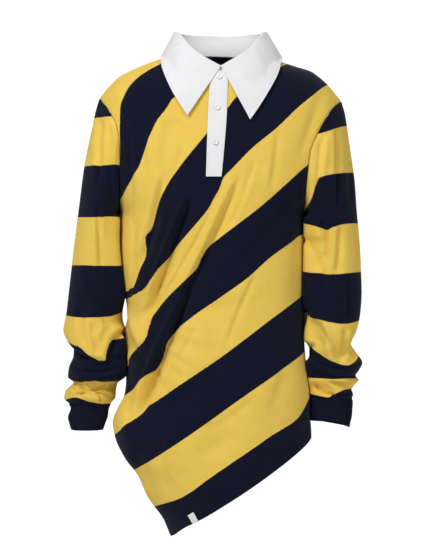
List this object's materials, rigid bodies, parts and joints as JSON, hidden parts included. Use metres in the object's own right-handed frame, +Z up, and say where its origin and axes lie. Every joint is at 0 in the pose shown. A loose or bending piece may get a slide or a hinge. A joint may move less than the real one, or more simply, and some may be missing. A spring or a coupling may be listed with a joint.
{
  "type": "polo shirt",
  "caption": "Long-sleeved rugby-style polo shirt in its worn, hollow form, with slanting navy and yellow stripes, a slanting hem, white collar and placket, and plain navy cuffs.",
  "frame": {"origin": "middle of the neck opening, between the tops of the shoulders, where the wearer's neck and shoulders hold the shirt", "axes": "+Z up the wearer's body, the front faces -Y, +X towards the wearer's left"},
  "size_m": [0.508, 0.2532, 0.8537],
  "materials": {
    "striped_jersey": "matt cotton jersey in wide navy and yellow stripes",
    "navy_rib": "matt rib knit",
    "white_cotton": "matt woven cotton",
    "button": "satin"
  },
  "bodies": {
    "root": {"front": "striped_jersey", "back": "striped_jersey", "sleeve_left": "striped_jersey", "sleeve_right": "striped_jersey", "cuff_left": "navy_rib", "cuff_right": "navy_rib", "collar_stand": "white_cotton", "collar_leaf": "white_cotton", "placket": "white_cotton", "hem_tab": "white_cotton", "button_1": "button", "button_2": "button", "button_3": "button"}
  },
  "joints": []
}
